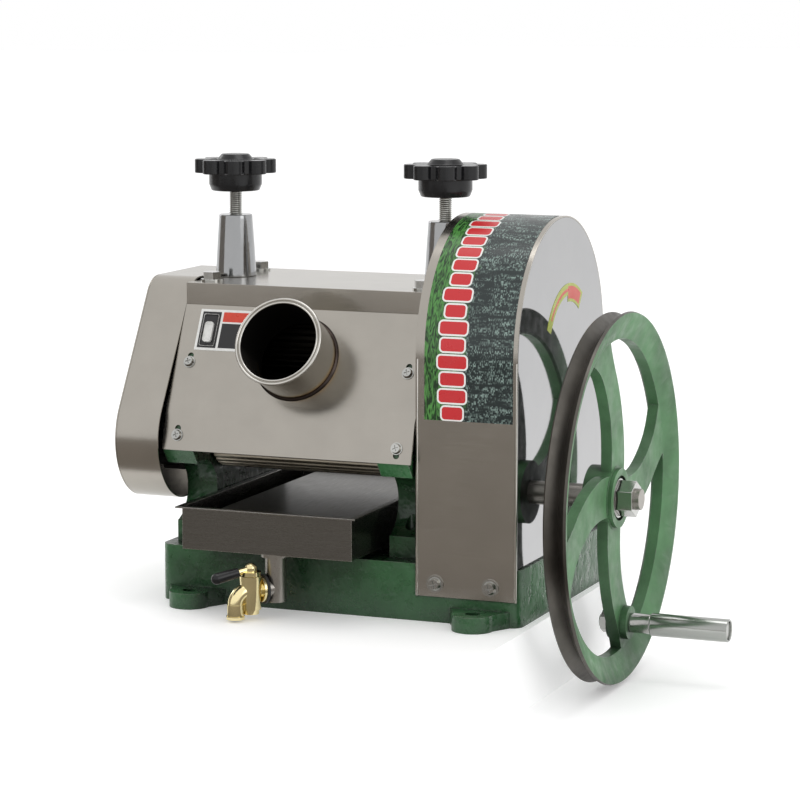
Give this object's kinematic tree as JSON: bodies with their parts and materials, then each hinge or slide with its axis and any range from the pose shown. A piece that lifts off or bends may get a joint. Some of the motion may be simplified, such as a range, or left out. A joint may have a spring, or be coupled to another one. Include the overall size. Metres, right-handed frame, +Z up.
{
  "type": "sugar cane juicer",
  "caption": "Hand-cranked roller sugar cane juicer with a slanted feed tube, spoked handwheel, pressure knobs, juice tray and brass tap.",
  "frame": {"origin": "centre of the flat underside of the base", "axes": "+X across the machine towards the handwheel, -Y towards the operator at the feed tube, +Z up"},
  "size_m": [0.4471, 0.3061, 0.3903],
  "materials": {
    "green_casting": "hammered green paint on cast iron",
    "green_wheel": "green paint on cast iron",
    "stainless": "bright rolled stainless sheet",
    "mirror_steel": "mirror polished stainless sheet",
    "polished_tube": "drawn stainless tube",
    "satin_chrome": "satin chrome",
    "chrome": "bright chrome",
    "zinc_steel": "zinc plated",
    "machined_steel": "turned steel",
    "spring_steel": "dark spring wire",
    "iron": "machined cast iron, oiled",
    "bronze": "cast bronze",
    "brass": "polished brass",
    "black_plastic": "moulded black plastic",
    "black_rubber": "matt rubber",
    "label_white": "printed film",
    "decal_green": "printed film",
    "decal_red": "printed film"
  },
  "bodies": {
    "machine": {"base_casting": "green_casting", "left_side_frame": "green_casting", "right_side_frame": "green_casting", "outboard_bearing": "green_casting", "cap_bars": "green_casting", "cap_bolts": "zinc_steel", "frame_bolts": "zinc_steel", "frame_bushes": "bronze", "turner_bar": "machined_steel", "top_cover": "stainless", "front_panel": "stainless", "rear_panel": "stainless", "panel_screws": "zinc_steel", "feed_tube": "polished_tube", "outlet_chute": "stainless", "screw_towers": "satin_chrome", "left_cover_band": "stainless", "left_cover_plate": "stainless", "left_cover_studs": "zinc_steel", "right_cover_wrapper": "stainless", "right_cover_side_plate": "mirror_steel", "right_cover_back_plate": "stainless", "right_cover_screws": "zinc_steel", "hand_label": "label_white", "cover_decal": "decal_green", "arrow_decal": "decal_red"},
    "carriage": {"bearing_blocks": "iron", "block_bushes": "bronze", "pressure_springs": "spring_steel"},
    "top_roller": {"top_roller": "machined_steel", "drive_gear": "iron", "top_roller_gear": "iron", "top_gear_nuts": "zinc_steel"},
    "front_roller": {"front_roller": "machined_steel", "front_roller_gear": "iron", "front_gear_nut": "zinc_steel"},
    "rear_roller": {"rear_roller": "machined_steel", "rear_roller_gear": "iron", "rear_gear_nut": "zinc_steel"},
    "handwheel": {"input_shaft": "machined_steel", "pinion": "iron", "handwheel": "green_wheel", "hub_washer": "zinc_steel", "hub_nut": "zinc_steel", "handle_bolt": "zinc_steel", "handle_nut": "zinc_steel"},
    "handle": {"handle_sleeve": "chrome"},
    "left_pad": {"left_pressure_pad": "machined_steel"},
    "left_screw": {"left_pressure_screw": "zinc_steel", "left_knob": "black_plastic"},
    "right_pad": {"right_pressure_pad": "machined_steel"},
    "right_screw": {"right_pressure_screw": "zinc_steel", "right_knob": "black_plastic"},
    "tray": {"juice_tray": "stainless", "strainer_plate": "stainless", "tap_pipe": "machined_steel", "tap_washer": "black_rubber", "tap_body": "brass"},
    "tap_lever": {"tap_plug": "brass", "tap_grip": "black_plastic"}
  },
  "joints": [
    {"name": "roller_lift", "type": "slide", "parent": "machine", "child": "carriage", "axis": [0, 0, 1], "range_m": [0, 0.001], "stiffness_N_per_m": 20000, "springref_m": -0.01, "deforming": ["pressure_springs"]},
    {"name": "top_roller_spin", "type": "hinge", "parent": "carriage", "child": "top_roller", "pos_m": [-0.038, 0, 0.195], "axis": [1, 0, 0], "continuous": true},
    {"name": "front_roller_spin", "type": "hinge", "parent": "machine", "child": "front_roller", "pos_m": [-0.038, -0.046, 0.1345], "axis": [1, 0, 0], "continuous": true},
    {"name": "rear_roller_spin", "type": "hinge", "parent": "machine", "child": "rear_roller", "pos_m": [-0.038, 0.046, 0.1345], "axis": [1, 0, 0], "continuous": true},
    {"name": "handwheel_spin", "type": "hinge", "parent": "machine", "child": "handwheel", "pos_m": [0.12, 0, 0.084], "axis": [1, 0, 0], "continuous": true},
    {"name": "handle_spin", "type": "hinge", "parent": "handwheel", "child": "handle", "pos_m": [0.24, 0.02225, -0.01554], "axis": [1, 0, 0], "continuous": true},
    {"name": "tray_slide", "type": "slide", "parent": "machine", "child": "tray", "axis": [0, -1, 0], "range_m": [0, 0.14]},
    {"name": "tap_turn", "type": "hinge", "parent": "tray", "child": "tap_lever", "pos_m": [-0.05003, -0.1407, 0.0223], "axis": [0, 0, 1], "range_deg": [0, 90]},
    {"name": "left_pad_slide", "type": "slide", "parent": "machine", "child": "left_pad", "axis": [0, 0, 1], "range_m": [-0.0045, 0.003]},
    {"name": "left_knob_turn", "type": "hinge", "parent": "left_pad", "child": "left_screw", "pos_m": [-0.1255, 0, 0.27], "axis": [0, 0, 1], "range_deg": [-1080, 720]},
    {"name": "right_pad_slide", "type": "slide", "parent": "machine", "child": "right_pad", "axis": [0, 0, 1], "range_m": [-0.0045, 0.003]},
    {"name": "right_knob_turn", "type": "hinge", "parent": "right_pad", "child": "right_screw", "pos_m": [0.049, 0, 0.27], "axis": [0, 0, 1], "range_deg": [-1080, 720]}
  ],
  "couplings": [
    {"joint": "front_roller_spin", "follows": "top_roller_spin", "ratio": -1},
    {"joint": "rear_roller_spin", "follows": "top_roller_spin", "ratio": -1},
    {"joint": "handwheel_spin", "follows": "top_roller_spin", "ratio": -3.9333},
    {"joint": "left_pad_slide", "follows": "left_knob_turn", "m_per_rad": 0.00023873},
    {"joint": "right_pad_slide", "follows": "right_knob_turn", "m_per_rad": 0.00023873}
  ]
}
